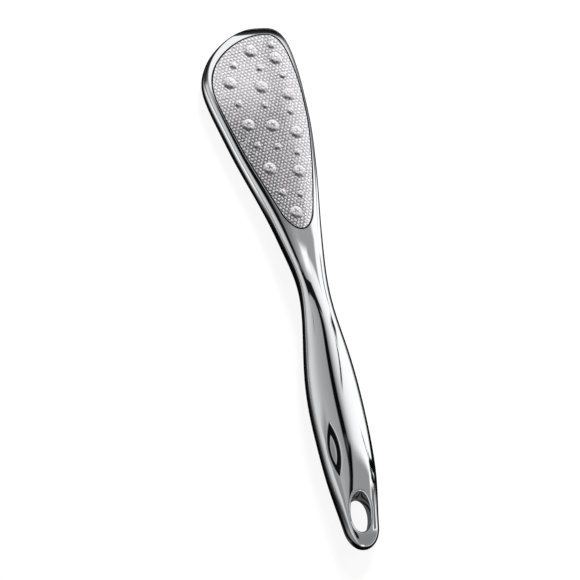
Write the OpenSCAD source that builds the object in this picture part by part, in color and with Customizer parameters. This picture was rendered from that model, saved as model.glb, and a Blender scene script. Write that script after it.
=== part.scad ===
// Foot file: two moulded shells with a domed rasp plate let into the face, a flat fine plate
// let into the back, a steel stiffener inside and a hanging hole through the handle's end.
// It lies on its back: +Z points out of the rasp face, +Y towards the head's tip, +X to the right.

/* [Handle] */
// Length from the handle's end to the neck
handle_len = 123; // [100:1:150]
// Width of the neck
neck_w = 13.7; // [12:0.2:18]
// Width of the grip at its widest
grip_w = 23.8; // [21:0.2:32]
// Width of the handle just above its rounded end
end_w = 12.9; // [12:0.2:18]
// Distance of the handle's axis to the right of the head's middle
handle_offset = 8.2; // [4:0.25:11]
// Thickness of the neck
neck_t = 9.5; // [8.6:0.1:12]
// Thickness of the grip
grip_t = 13.5; // [11:0.1:17]
// Thickness of the handle at its end
end_t = 9.5; // [8:0.1:13]
// Height of the neck's underside above the surface that the file lies on
neck_lift = 2.5; // [1:0.1:4]
// Length of the rounded end of the handle in plan
end_cap_len = 9; // [6:0.5:12]
// Length of the rounded end of the handle seen from the side
end_round_len = 8; // [5:0.5:12]

/* [Head] */
// Length from the neck to the tip
head_len = 127; // [112:1:145]
// Width of the head at its shoulder
head_w = 45; // [40:0.2:54]
// Thickness of the head
head_t = 8.5; // [8:0.1:11]
// How far the tip lies to the right of the head's middle line
tip_skew = 5; // [0:0.25:8]
// Length of the round cap at the tip in plan
tip_cap_len = 32; // [26:1:38]
// Length of the rounded tip seen from the side
tip_round_len = 7; // [5:0.5:10]

/* [Rasp plate] */
// Thickness of the rasp sheet
plate_t = 0.6; // [0.4:0.05:0.8]
// Mean width of the bezel beside the rasp plate
bezel_w = 2.4; // [2:0.1:4]
// How much wider the bezel gets towards the neck
bezel_taper = 3.1; // [2:0.1:4.5]
// How far the plate sits to the right of the head's middle line
bezel_shift = 0.85; // [0:0.05:1.5]
// Width of the bezel at the tip
bezel_tip = 4.8; // [3:0.1:6]
// Distance from the neck to the lower end of the plate
plate_from_neck = 25.2; // [22:0.2:32]
// Radius of a large dome at its foot
big_dome_r = 2.9; // [2:0.1:3.2]
// Height of a large dome
big_dome_h = 0.8; // [0.4:0.05:1.2]
// Radius of a small dome at its foot
small_dome_r = 1.6; // [1:0.1:2.2]
// Height of a small dome
small_dome_h = 0.7; // [0.4:0.05:1.2]
// Thickness of the adhesive tape under each plate
tape_t = 0.3; // [0.2:0.05:0.4]
// Gap round each plate in its recess
seam_gap = 0.3; // [0.15:0.05:0.45]

/* [Fine plate] */
// Thickness of the fine sheet
fine_t = 0.5; // [0.4:0.05:0.7]
// How far the fine sheet stands out of the flat back
fine_proud = 0.25; // [0.1:0.05:0.3]
// Width of the border beside the fine plate
fine_border = 6; // [5:0.25:8]
// Distance from the neck to the lower end of the fine plate
fine_from_neck = 52; // [48:1:58]
// Distance from the tip to the upper end of the fine plate
fine_from_tip = 13; // [11:0.5:18]

/* [Shells] */
// Wall of the moulded shells
wall = 2; // [1.6:0.1:2.2]
// Wall beside the hollow of the head
rim_wall = 3.5; // [3:0.1:5]
// Floor under each plate recess
floor_t = 1.3; // [1:0.1:1.5]
// Width of the hanging hole
hole_w = 8.8; // [6.4:0.2:10]
// Length of the hanging hole
hole_len = 17.6; // [13:0.2:21]
// How far the hole leans to the right at its upper end, in degrees
hole_turn = 8; // [0:1:12]
// Distance from the handle's end to the middle of the hanging hole
hole_from_end = 15; // [13.5:0.5:18]
// Rounding of the hanging hole's rim
hole_lip = 1.3; // [0.6:0.1:1.6]
// Length of the leaf-shaped thumb dish in the grip
dish_len = 25; // [18:1:30]
// Width of the thumb dish
dish_w = 5.4; // [4:0.2:7]
// Depth of the thumb dish
dish_depth = 0.9; // [0.4:0.1:1.1]
// Width of the sloping side all round the thumb dish
dish_side_w = 1.2; // [0.8:0.1:1.8]
// Distance from the neck down to the middle of the thumb dish
dish_from_neck = 79.5; // [70:0.5:82]

/* [Stiffener] */
// Thickness of the steel stiffener
bar_t = 2; // [1.4:0.1:2.2]
// Radius of the locating pins through the stiffener
pin_r = 1.4; // [1.1:0.1:1.6]
// Wall round a pin's socket
boss_wall = 1.3; // [1:0.1:1.4]
// Running clearance of pins, sockets and the stiffener
fit_gap = 0.05; // [0.03:0.01:0.1]

/* [Screws] */
// Radius of the screw's shank
screw_r = 1.25; // [1:0.05:1.5]
// Radius of the countersunk head
screw_head_r = 2.3; // [2:0.05:2.5]
// Height of the countersunk head
screw_head_h = 1.1; // [0.9:0.05:1.2]
// Radial clearance of the screw in the back shell
screw_clear = 0.1; // [0.05:0.01:0.2]
// Material left above the screw's tip
tip_cover = 0.7; // [0.5:0.05:1]

/* [Hidden] */
chrome = "silver";
steel = "gainsboro";
tape_colour = "dimgray";

// Where the main stations lie along the file
overall_len = handle_len + head_len;
end_y = -overall_len / 2;
tip_y = overall_len / 2;
neck_y = end_y + handle_len;
shoulder_share = 3 / 4;
shoulder_y = neck_y + shoulder_share * head_len;

// How widths, heights and the middle line run from station to station, at equal steps
end_grip_w_shares = [0, 0.37, 0.785, 0.95, 1];
grip_neck_w_shares = [0.88, 0.54, 0.11, 0];
neck_head_w_shares = [0.14, 0.3, 0.505, 0.71, 0.875, 0.985, 1, 0.93];
handle_mid_shares = [0, 0, 0, 0.02, 0.06, 0.05, 0.01, 0, 0];
head_mid_shares = [0.1, 0.19, 0.32, 0.52, 0.71, 0.96, 0.93, 0.39];
end_grip_t_shares = [0, 0.45, 0.8, 0.96, 1];
grip_neck_t_shares = [0.88, 0.55, 0.18, 0];
neck_head_t_shares = [0.1, 0.35, 0.6, 0.8, 0.92, 1, 1.15, 1.5];
lift_shares = [0.4, 0.15, 0.02, 0, 0, 0.05, 0.35, 0.8, 1, 0.72, 0.38, 0.1, 0, 0, 0, 0.05, 0.5];
head_form_shares = [0, 0, 0, 0, 0, 0, 0, 0, 0, 0.03, 0.2, 0.55, 0.85, 1, 1, 1, 1];

// Where the crest of the face runs: 0 is the middle line, -1 the left edge
handle_crest_shares = [-0.7, -0.6, -0.06, 0, 0, 0, 0, -0.02];
head_crest_shares = [-0.55, -0.59, -0.69, -0.8, -0.85, -0.86, -0.86, -0.86, -0.86];

// Roundness of the sections and of the ends in plan: 2 is an ellipse, more is squarer
handle_power = 2.1;
face_power = 2.8;
back_power = 6;
cap_power = 2.2;
round_power = 2.4;

// The rasp plate's domes in rows from the tip down, each dome's place across and along the plate.
// The first row is of small domes, the next of large ones, and so on in turn.
dome_row_shares = [
    [[0.55, 0.948]],
    [[-0.17, 0.922], [0.6, 0.881]],
    [[-0.53, 0.854], [0.14, 0.833], [0.67, 0.792]],
    [[-0.6, 0.766], [0.11, 0.735], [0.68, 0.693]],
    [[-0.54, 0.655], [0.05, 0.641], [0.62, 0.604]],
    [[-0.53, 0.545], [0.07, 0.534], [0.65, 0.496]],
    [[-0.53, 0.438], [0.03, 0.426], [0.57, 0.393]],
    [[-0.47, 0.317], [0.52, 0.296]],
    [[-0.4, 0.189], [0.41, 0.177]],
    [[-0.07, 0.085]],
];
dome_top_share = 0.62;
dome_root_share = 0.6;

// The thumb dish's place across the left half of the grip
dish_side_share = 0.52;

// Where pins and screws sit along the pieces that they join
pin_shares = [0.06, 0.5, 0.93];
screw_shares = [0.1, 0.5, 0.86];

// How finely the curved faces are divided
cap_steps = 10;
shell_steps = 36;
arc_steps = 18;
plate_steps = 22;
across_steps = 12;
hollow_steps = 26;
hole_steps = 36;
lip_steps = 4;
lip_start = 12;
dish_steps = 20;
dish_across_steps = 8;
end_trim_share = 0.012;
overrun = 2;
round_fn = 48;

function mix(a, b, share) = a + (b - a) * share;
function mixes(a, b, shares) = [for (share = shares) mix(a, b, share)];

// A smooth curve through a table of equally spaced values
function stretched(v) = let (n = len(v))
    concat([2 * v[0] - v[1]], v, [2 * v[n - 1] - v[n - 2]]);
function sharpened(v) = let (w = stretched(v))
    [for (i = [1:len(v)]) w[i] - (w[i - 1] - 2 * w[i] + w[i + 1]) / 6];
function controls(v) = stretched(sharpened(v));
function curve(c, t) = let (k = min(max(floor(t), 0), len(c) - 4), u = t - k)
    (pow(1 - u, 3) * c[k] + (3 * pow(u, 3) - 6 * pow(u, 2) + 4) * c[k + 1]
     + (-3 * pow(u, 3) + 3 * pow(u, 2) + 3 * u + 1) * c[k + 2] + pow(u, 3) * c[k + 3]) / 6;

half_w_curve = controls(concat(
    mixes(end_w / 2, grip_w / 2, end_grip_w_shares),
    mixes(neck_w / 2, grip_w / 2, grip_neck_w_shares),
    mixes(neck_w / 2, head_w / 2, neck_head_w_shares)));
mid_curve = controls(concat(
    mixes(handle_offset, 0, handle_mid_shares),
    mixes(handle_offset, 0, head_mid_shares)));
thick_curve = controls(concat(
    mixes(end_t, grip_t, end_grip_t_shares),
    mixes(neck_t, grip_t, grip_neck_t_shares),
    mixes(neck_t, head_t, neck_head_t_shares)));
lift_curve = controls(lift_shares * neck_lift);
form_curve = controls(head_form_shares);
crest_curve = controls(concat(handle_crest_shares, head_crest_shares));

// Place along the tables: the handle and the head each take half of the steps
half_count = len(head_mid_shares);
function place(y) = half_count * (y < neck_y ? (y - end_y) / handle_len : 1 + (y - neck_y) / head_len);

// 1 inside, falling to 0 over the last stretch before an end
function cap(d, stretch, power) = let (s = min(max(1 - d / stretch, 0), 1))
    pow(1 - pow(s, power), 1 / power);
function section(q, power) = pow(1 - pow(min(abs(q), 1), power), 1 / power);

// The bare outline before its middle is set on x = 0
function tip_cap(y) = cap(tip_y - y, tip_cap_len, cap_power);
function end_cap(y) = cap(y - end_y, end_cap_len, cap_power);
function raw_half(y) = curve(half_w_curve, place(y));
function raw_mid(y) = curve(mid_curve, place(y)) + tip_skew * (1 - tip_cap(y));
function half_w(y) = raw_half(y) * tip_cap(y) * end_cap(y);

function spread(lo, hi, n) = [for (i = [0:n]) mix(lo, hi, i / n)];
function eased(lo, hi, n, trim) = [for (i = [0:n - 1]) mix(lo, hi, 1 - cos(90 * max(i / n, trim)))];
function reversed(v) = [for (i = [len(v) - 1:-1:0]) v[i]];
body_ys = concat(
    eased(end_y, end_y + end_cap_len, cap_steps, end_trim_share),
    spread(end_y + end_cap_len, tip_y - tip_cap_len, shell_steps),
    reversed(eased(tip_y, tip_y - tip_cap_len, cap_steps, end_trim_share)));

left_x = min([for (y = body_ys) raw_mid(y) - half_w(y)]);
right_x = max([for (y = body_ys) raw_mid(y) + half_w(y)]);
centre_x = (left_x + right_x) / 2;
function mid_x(y) = raw_mid(y) - centre_x;

// Heights of the underside, the parting line, the face and the back
function lift(y) = max(curve(lift_curve, place(y)), 0);
function thick(y) = curve(thick_curve, place(y));
function parting(y) = lift(y) + thick(y) / 2;
function form(y) = min(max(curve(form_curve, place(y)), 0), 1);
function half_t(y) = thick(y) / 2 * cap(tip_y - y, tip_round_len, round_power)
    * cap(y - end_y, end_round_len, round_power);
function crest(y) = curve(crest_curve, place(y));
function off_crest(y, share) = crest(y) + share * (share > 0 ? 1 - crest(y) : 1 + crest(y));
function across(x, y) = (x - mid_x(y)) / half_w(y);
function from_crest(x, y) = let (d = across(x, y) - crest(y)) d / (d > 0 ? 1 - crest(y) : 1 + crest(y));
function front_power(y) = mix(handle_power, face_power, form(y));
function rear_power(y) = mix(handle_power, back_power, form(y));
function front_z(x, y) = parting(y) + half_t(y) * section(from_crest(x, y), front_power(y));
function back_z(x, y) = let (z = parting(y) - half_t(y) * section(across(x, y), rear_power(y)))
    y > neck_y ? max(z, fine_proud) : z;

// Outline of the rasp plate, and of its recess when grown by a gap
plate_end_y = neck_y + plate_from_neck;
plate_tip_y = tip_y - bezel_tip;
plate_end_cap = end_cap_len;
function plate_cap(y, grow) = cap(plate_tip_y + grow - y, tip_cap_len, cap_power);
function plate_bezel(y) = let (u = max((shoulder_y - y) / (shoulder_y - plate_end_y), 0))
    bezel_w + bezel_taper * pow(u, 2);
function plate_half(y, grow) = (raw_half(y) - plate_bezel(y) + grow) * plate_cap(y, grow)
    * cap(y - plate_end_y + grow, plate_end_cap, cap_power);
function plate_mid(y, grow) = curve(mid_curve, place(y)) - centre_x + bezel_shift
    + tip_skew * (1 - plate_cap(y, grow));
function plate_ys(grow) = concat(
    eased(plate_end_y - grow, plate_end_y + plate_end_cap, cap_steps, end_trim_share),
    spread(plate_end_y + plate_end_cap, plate_tip_y - tip_cap_len, plate_steps),
    reversed(eased(plate_tip_y + grow, plate_tip_y - tip_cap_len, cap_steps, end_trim_share)));
recess_depth = plate_t + tape_t;

// Outline of the fine plate
fine_end_y = neck_y + fine_from_neck;
fine_tip_y = tip_y - fine_from_tip;
fine_cap_len = tip_cap_len - fine_from_tip / 2;
function fine_cap(y, grow) = cap(fine_tip_y + grow - y, fine_cap_len, cap_power);
function fine_half(y, grow) = (raw_half(y) - fine_border + grow) * fine_cap(y, grow)
    * cap(y - fine_end_y + grow, plate_end_cap, cap_power);
function fine_mid(y, grow) = curve(mid_curve, place(y)) - centre_x + tip_skew * (1 - fine_cap(y, grow));
function fine_ys(grow) = concat(
    eased(fine_end_y - grow, fine_end_y + plate_end_cap, cap_steps, end_trim_share),
    spread(fine_end_y + plate_end_cap, fine_tip_y - fine_cap_len, cap_steps),
    reversed(eased(fine_tip_y + grow, fine_tip_y - fine_cap_len, cap_steps, end_trim_share)));
fine_recess_z = fine_t + tape_t;

// The hollow in both shells
hole_y = end_y + hole_from_end;
hollow_end_y = hole_y + hole_len / 2 + hole_lip + wall;
hollow_tip_y = tip_y - tip_cap_len / 2;
hollow_end_cap = end_cap_len / 2;
hollow_tip_cap = hollow_tip_y - shoulder_y;
hollow_ys = concat(
    eased(hollow_end_y, hollow_end_y + hollow_end_cap, cap_steps / 2, end_trim_share),
    spread(hollow_end_y + hollow_end_cap, hollow_tip_y - hollow_tip_cap, hollow_steps),
    reversed(eased(hollow_tip_y, hollow_tip_y - hollow_tip_cap, cap_steps / 2, end_trim_share)));
function ramp(y, from, to) = min(max((y - from) / (to - from), 0), 1);
function side_wall(y) = mix(wall, rim_wall, form(y));
function hollow_half(y) = (half_w(y) - side_wall(y)) * cap(y - hollow_end_y, hollow_end_cap, cap_power)
    * cap(hollow_tip_y - y, hollow_tip_cap, cap_power);
function face_wall(y) = wall + (recess_depth + floor_t - wall)
    * ramp(y, plate_end_y - 2 * seam_gap - wall, plate_end_y - seam_gap);
function rear_wall(y) = wall + (fine_recess_z - fine_proud + floor_t - wall)
    * ramp(y, fine_end_y - 2 * seam_gap - wall, fine_end_y - seam_gap);
thinnest_share = 0.2;
thinnest_hollow = wall * thinnest_share;
function hollow_top(x, y) = max(front_z(x, y) - face_wall(y), parting(y) + thinnest_hollow);
function hollow_bottom(x, y) = min(back_z(x, y) + rear_wall(y), parting(y) - thinnest_hollow);

// The stiffener and its pins
bar_room_share = 0.8;
bar_drop_share = 0.15;
bar_w = (neck_w - 2 * wall) * bar_room_share;
bar_z = parting(neck_y) - bar_t * bar_drop_share;
bar_low_y = hollow_end_y + hollow_end_cap;
bar_high_y = plate_end_y - plate_end_cap - bar_w / 2;
pin_ys = [for (share = pin_shares) mix(bar_low_y, bar_high_y, share)];
bar_top = bar_z + bar_t / 2;
bar_bottom = bar_z - bar_t / 2;
boss_r = pin_r + boss_wall;
socket_depth = 2 * pin_r;
bar_x = mid_x(neck_y);

// The screws, from the fine plate's recess up into the front shell
screw_ys = [for (share = screw_shares) mix(fine_end_y, fine_tip_y, share)];
screw_boss_r = screw_head_r + screw_clear + wall / 2;
screw_base_z = fine_recess_z;
function screw_x(y) = fine_mid(y, 0);
function screw_top(y) = front_z(screw_x(y), y) - recess_depth - tip_cover;

function flat_list(v) = [for (row = v) for (item = row) item];

// A closed solid through rings of equally many points, with its two flat ends
module loft(rings) {
    n = len(rings[0]);
    last = len(rings) - 1;
    sides = [for (i = [0:last - 1]) for (j = [0:n - 1]) let (a = i * n + j, b = i * n + (j + 1) % n)
        for (face = [[a, b, b + n], [a, b + n, a + n]]) face];
    first_end = [[for (j = [n - 1:-1:0]) j]];
    last_end = [[for (j = [0:n - 1]) last * n + j]];
    polyhedron(points = flat_list(rings), faces = concat(sides, first_end, last_end));
}

// Points of one half section, from the right edge over to the left
function arc_share(i, power) = let (c = cos(180 * i / arc_steps))
    sign(c) * pow(abs(c), 2 / power);
function front_ring(y) = [for (i = [0:arc_steps])
    let (x = mid_x(y) + half_w(y) * off_crest(y, arc_share(i, front_power(y))))
    [x, y, front_z(x, y)]];
function back_ring(y) = [for (i = [arc_steps:-1:0])
    let (x = mid_x(y) + half_w(y) * arc_share(i, rear_power(y)))
    [x, y, back_z(x, y)]];

// Places across from the right edge to the left
function cross_xs(middle, half, n) = [for (i = [0:n]) middle + half * cos(180 * i / n)];

function hollow_front_ring(y) = let (xs = cross_xs(mid_x(y), hollow_half(y), across_steps))
    concat([[xs[0], y, parting(y) - overrun]],
           [for (x = xs) [x, y, hollow_top(x, y)]],
           [[xs[across_steps], y, parting(y) - overrun]]);
function hollow_back_ring(y) = let (xs = cross_xs(mid_x(y), hollow_half(y), across_steps))
    concat([[xs[across_steps], y, parting(y) + overrun]],
           [for (x = reversed(xs)) [x, y, hollow_bottom(x, y)]],
           [[xs[0], y, parting(y) + overrun]]);

// A slice of the head that follows the face, between two depths below it
function slice_ring(y, grow, top, bottom) =
    let (xs = cross_xs(plate_mid(y, grow), plate_half(y, grow), across_steps))
    concat([for (x = xs) [x, y, front_z(x, y) - top]],
           [for (x = reversed(xs)) [x, y, front_z(x, y) - bottom]]);
module face_slice(grow, top, bottom) {
    loft([for (y = plate_ys(grow)) slice_ring(y, grow, top, bottom)]);
}

function fine_outline(grow) = let (ys = fine_ys(grow))
    concat([for (y = ys) [fine_mid(y, grow) + fine_half(y, grow), y]],
           [for (y = reversed(ys)) [fine_mid(y, grow) - fine_half(y, grow), y]]);
module fine_slice(grow, low, high) {
    translate([0, 0, low])
        linear_extrude(high - low)
            polygon(fine_outline(grow));
}

// The hanging hole, a leaning oval flared at both faces by a quarter round that follows the surface
function hole_x(a, grow) = mid_x(hole_y) + (hole_w / 2 + grow) * cos(a) * cos(hole_turn)
    + (hole_len / 2 + grow) * sin(a) * sin(hole_turn);
function hole_row(a, grow) = hole_y + (hole_len / 2 + grow) * sin(a) * cos(hole_turn)
    - (hole_w / 2 + grow) * cos(a) * sin(hole_turn);
function hole_ring(grow, height) = [for (i = [0:hole_steps - 1])
    let (a = 360 * i / hole_steps, x = hole_x(a, grow), y = hole_row(a, grow))
    [x, y, height(x, y)]];
function lip_grow(a) = hole_lip * (1 - sin(a));
function lip_drop(a) = hole_lip * (1 - cos(a));
module hanging_hole() {
    lip_angles = spread(lip_start, 90, lip_steps);
    loft(concat(
        [hole_ring(lip_grow(lip_start), function (x, y) grip_t + overrun)],
        [for (a = lip_angles) hole_ring(lip_grow(a), function (x, y) front_z(x, y) - lip_drop(a))],
        [for (a = reversed(lip_angles)) hole_ring(lip_grow(a), function (x, y) back_z(x, y) + lip_drop(a))],
        [hole_ring(lip_grow(lip_start), function (x, y) -overrun)]));
}

// A leaf-shaped dish for the thumb, left of the grip's crest, with sloping sides and a flat bottom
dish_y = neck_y - dish_from_neck;
dish_x = mid_x(dish_y) - dish_side_share * half_w(dish_y);
function dish_half(d) = dish_w / 2 * (1 - pow(2 * d / dish_len, 2));
function dish_drop(u, d) = dish_depth * sin(90 * min((dish_half(d) - abs(u)) / dish_side_w, 1));
function dish_ring(d) = let (us = cross_xs(0, dish_half(d), dish_across_steps), y = dish_y + d)
    concat([[dish_x + us[0], y, grip_t + overrun], [dish_x - us[0], y, grip_t + overrun]],
           [for (u = reversed(us)) [dish_x + u, y, front_z(dish_x + u, y) - dish_drop(u, d)]]);
module thumb_dish() {
    half = dish_len / 2 * (1 - end_trim_share);
    loft([for (d = spread(-half, half, dish_steps)) dish_ring(d)]);
}

module upright(x, y, r, low, high) {
    translate([x, y, low])
        cylinder(h = high - low, r = r, $fn = round_fn);
}

module front_shell() {
    color(chrome)
        union() {
            difference() {
                loft([for (y = body_ys) front_ring(y)]);
                difference() {
                    loft([for (y = hollow_ys) hollow_front_ring(y)]);
                    for (y = pin_ys)
                        upright(bar_x, y, boss_r, bar_top + fit_gap, bar_top + grip_t);
                    for (y = screw_ys)
                        upright(screw_x(y), y, screw_boss_r, parting(y), parting(y) + head_t);
                }
                face_slice(seam_gap, -overrun, recess_depth);
                hanging_hole();
                thumb_dish();
                for (y = screw_ys)
                    upright(screw_x(y), y, screw_r, parting(y) - overrun, screw_top(y) + fit_gap);
            }
            for (y = pin_ys)
                upright(bar_x, y, pin_r, bar_bottom - socket_depth + fit_gap, bar_top + wall / 2);
        }
}

module back_shell() {
    color(chrome)
        difference() {
            loft([for (y = body_ys) back_ring(y)]);
            difference() {
                loft([for (y = hollow_ys) hollow_back_ring(y)]);
                for (y = pin_ys)
                    upright(bar_x, y, boss_r, -overrun, bar_bottom - fit_gap);
                for (y = screw_ys)
                    upright(screw_x(y), y, screw_boss_r, -overrun, parting(y));
            }
            fine_slice(seam_gap, -overrun, fine_recess_z);
            hanging_hole();
            for (y = pin_ys)
                upright(bar_x, y, pin_r + fit_gap, bar_bottom - socket_depth, bar_bottom + overrun);
            for (y = screw_ys) {
                upright(screw_x(y), y, screw_r + screw_clear, -overrun, parting(y) + overrun);
                translate([screw_x(y), y, screw_base_z])
                    cylinder(h = screw_head_h, r1 = screw_head_r + screw_clear, r2 = screw_r + screw_clear,
                             $fn = round_fn);
            }
        }
}

// One dome of the rasp plate, rooted in the sheet and square to its surface
module dome(x, y, r, h) {
    lean_x = atan2(front_z(x + r, y) - front_z(x - r, y), 2 * r);
    lean_y = atan2(front_z(x, y + r) - front_z(x, y - r), 2 * r);
    root = plate_t * dome_root_share;
    translate([x, y, front_z(x, y)])
        rotate([lean_y, -lean_x, 0])
            translate([0, 0, -root]) {
                cylinder(h = root, r = r, $fn = round_fn);
                translate([0, 0, root])
                    cylinder(h = h, r1 = r, r2 = r * dome_top_share, $fn = round_fn);
            }
}

module rasp_plate() {
    color(steel)
        union() {
            face_slice(0, 0, plate_t);
            for (i = [0:len(dome_row_shares) - 1])
                for (spot = dome_row_shares[i]) {
                    y = mix(plate_end_y, plate_tip_y, spot[1]);
                    x = plate_mid(y, 0) + spot[0] * plate_half(y, 0);
                    if (i % 2 == 0)
                        dome(x, y, small_dome_r, small_dome_h);
                    else
                        dome(x, y, big_dome_r, big_dome_h);
                }
        }
}

module rasp_plate_tape() {
    color(tape_colour)
        face_slice(-seam_gap, plate_t + fit_gap, recess_depth - fit_gap);
}

module fine_plate() {
    color(steel)
        fine_slice(0, 0, fine_t);
}

module fine_plate_tape() {
    color(tape_colour)
        fine_slice(-seam_gap, fine_t, fine_recess_z);
}

module stiffener_bar() {
    color(steel)
        translate([bar_x, 0, bar_bottom])
            linear_extrude(bar_t)
                difference() {
                    union() {
                        translate([-bar_w / 2, bar_low_y + bar_w / 2])
                            square([bar_w, bar_high_y - bar_low_y - bar_w]);
                        for (y = [bar_low_y + bar_w / 2, bar_high_y - bar_w / 2])
                            translate([0, y])
                                circle(bar_w / 2, $fn = round_fn);
                    }
                    for (y = pin_ys)
                        translate([0, y])
                            circle(pin_r + fit_gap, $fn = round_fn);
                }
}

module shell_screws() {
    color(steel)
        for (y = screw_ys)
            translate([screw_x(y), y, screw_base_z])
                rotate_extrude($fn = round_fn)
                    polygon([[0, 0], [screw_head_r, 0], [screw_r - fit_gap / 2, screw_head_h],
                             [screw_r - fit_gap / 2, screw_top(y) - screw_base_z],
                             [0, screw_top(y) - screw_base_z]]);
}

front_shell();
back_shell();
rasp_plate();
rasp_plate_tape();
fine_plate();
fine_plate_tape();
stiffener_bar();
shell_screws();
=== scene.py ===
import math

import bmesh
import bpy
from mathutils import Matrix, Vector


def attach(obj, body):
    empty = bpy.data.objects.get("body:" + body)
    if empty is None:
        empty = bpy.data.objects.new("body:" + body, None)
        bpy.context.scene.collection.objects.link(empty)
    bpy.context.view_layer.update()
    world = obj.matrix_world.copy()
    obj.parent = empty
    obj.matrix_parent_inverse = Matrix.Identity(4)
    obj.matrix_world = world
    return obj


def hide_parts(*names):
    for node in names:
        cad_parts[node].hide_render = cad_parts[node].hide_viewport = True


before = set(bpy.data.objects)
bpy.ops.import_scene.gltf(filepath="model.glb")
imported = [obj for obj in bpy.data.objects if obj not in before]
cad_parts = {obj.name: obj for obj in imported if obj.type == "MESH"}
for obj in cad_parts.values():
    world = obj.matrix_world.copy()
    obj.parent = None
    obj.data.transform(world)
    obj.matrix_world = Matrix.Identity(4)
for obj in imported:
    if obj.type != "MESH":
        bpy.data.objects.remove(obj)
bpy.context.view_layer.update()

# Foot file: a chrome body in two shells, a domed rasp plate and a flat fine plate.
# Lengths are millimetres in the shape functions and become metres as points are placed.
MM = 0.001

# Driving sizes of the handle and head, as in the CAD
HANDLE_LEN, HEAD_LEN = 123, 127
NECK_W, GRIP_W, END_W = 13.7, 23.8, 12.9
NECK_T, GRIP_T, END_T = 9.5, 13.5, 9.5
HEAD_W, HEAD_T = 45, 8.5
HANDLE_OFFSET, NECK_LIFT, TIP_SKEW = 8.2, 2.5, 5
SHOULDER_SHARE = 0.75
TIP_CAP_LEN, END_CAP_LEN = 32, 9
TIP_ROUND_LEN, END_ROUND_LEN = 7, 8
END_Y = -(HANDLE_LEN + HEAD_LEN) / 2
TIP_Y = -END_Y
NECK_Y = END_Y + HANDLE_LEN
SHOULDER_Y = NECK_Y + SHOULDER_SHARE * HEAD_LEN

# How widths, heights and the middle line run from station to station, at equal steps
END_GRIP_W = [0, 0.37, 0.785, 0.95, 1]
GRIP_NECK_W = [0.88, 0.54, 0.11, 0]
NECK_HEAD_W = [0.14, 0.3, 0.505, 0.71, 0.875, 0.985, 1, 0.93]
HANDLE_MID = [0, 0, 0, 0.02, 0.06, 0.05, 0.01, 0, 0]
HEAD_MID = [0.1, 0.19, 0.32, 0.52, 0.71, 0.96, 0.93, 0.39]
END_GRIP_T = [0, 0.45, 0.8, 0.96, 1]
GRIP_NECK_T = [0.88, 0.55, 0.18, 0]
NECK_HEAD_T = [0.1, 0.35, 0.6, 0.8, 0.92, 1, 1.15, 1.5]
LIFT = [0.4, 0.15, 0.02, 0, 0, 0.05, 0.35, 0.8, 1, 0.72, 0.38, 0.1, 0, 0, 0, 0.05, 0.5]
HEAD_FORM = [0] * 9 + [0.03, 0.2, 0.55, 0.85, 1, 1, 1, 1]
CREST = [-0.7, -0.6, -0.06, 0, 0, 0, 0, -0.02,
         -0.55, -0.59, -0.69, -0.8, -0.85, -0.86, -0.86, -0.86, -0.86]
HALF_COUNT = len(HEAD_MID)

# Roundness of the sections and of the ends in plan: 2 is an ellipse, more is squarer
HANDLE_POWER, FACE_POWER, BACK_POWER = 2.1, 2.8, 6
CAP_POWER, ROUND_POWER = 2.2, 2.4

# Rasp plate and fine plate
PLATE_T, TAPE_T, SEAM_GAP = 0.6, 0.3, 0.3
BEZEL_W, BEZEL_TAPER, BEZEL_SHIFT, BEZEL_TIP = 2.4, 3.1, 0.85, 4.8
PLATE_FROM_NECK = 25.2
BIG_DOME_R, BIG_DOME_H = 2.9, 0.8
SMALL_DOME_R, SMALL_DOME_H = 1.6, 0.7
FINE_T, FINE_PROUD, FINE_BORDER = 0.5, 0.25, 6
FINE_FROM_NECK, FINE_FROM_TIP = 52, 13

# The rows of domes, from the tip down: place across and along the plate, small rows first
DOME_ROWS = [
    [(0.55, 0.948)],
    [(-0.17, 0.922), (0.6, 0.881)],
    [(-0.53, 0.854), (0.14, 0.833), (0.67, 0.792)],
    [(-0.6, 0.766), (0.11, 0.735), (0.68, 0.693)],
    [(-0.54, 0.655), (0.05, 0.641), (0.62, 0.604)],
    [(-0.53, 0.545), (0.07, 0.534), (0.65, 0.496)],
    [(-0.53, 0.438), (0.03, 0.426), (0.57, 0.393)],
    [(-0.47, 0.317), (0.52, 0.296)],
    [(-0.4, 0.189), (0.41, 0.177)],
    [(-0.07, 0.085)],
]

# Hanging hole and the leaf-shaped thumb dish
HOLE_W, HOLE_LEN, HOLE_FROM_END, HOLE_LIP = 8.8, 17.6, 15, 1.3
HOLE_TURN = math.radians(8)
DISH_LEN, DISH_W, DISH_DEPTH, DISH_SIDE_W = 25, 5.4, 0.9, 1.2
DISH_FROM_NECK, DISH_SIDE = 79.5, 0.52
DISH_EDGE_ROUND = 0.3

# Rounding of a plate's pocket and of a sheet's upper edge
RIM_ROUND, EDGE_ROUND = 0.2, 0.15

# Where the patches of the body's skin meet: beyond the hole's middle and beyond the rasp plate's lower end
HOLE_PATCH, HEAD_PATCH = 12.5, 3
PATCH_BOW = 9

# Shares closer to an edge than this lie on it
NEARLY = 1e-9


def mix(a, b, share):
    return a + (b - a) * share


def mixes(a, b, shares):
    return [mix(a, b, share) for share in shares]


def clamp(value, low=0.0, high=1.0):
    return min(max(value, low), high)


def rise(value, start, end):
    """0 at the start, 1 at the end, with a soft beginning and finish."""
    share = clamp((value - start) / (end - start))
    return share * share * (3 - 2 * share)


def stretched(v):
    """A table with one more value at each end, straight on."""
    return [2 * v[0] - v[1], *v, 2 * v[-1] - v[-2]]


def controls(v):
    """The values that steer a smooth curve through those of a table."""
    w = stretched(v)
    return stretched([w[i] - (w[i - 1] - 2 * w[i] + w[i + 1]) / 6 for i in range(1, len(w) - 1)])


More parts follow.
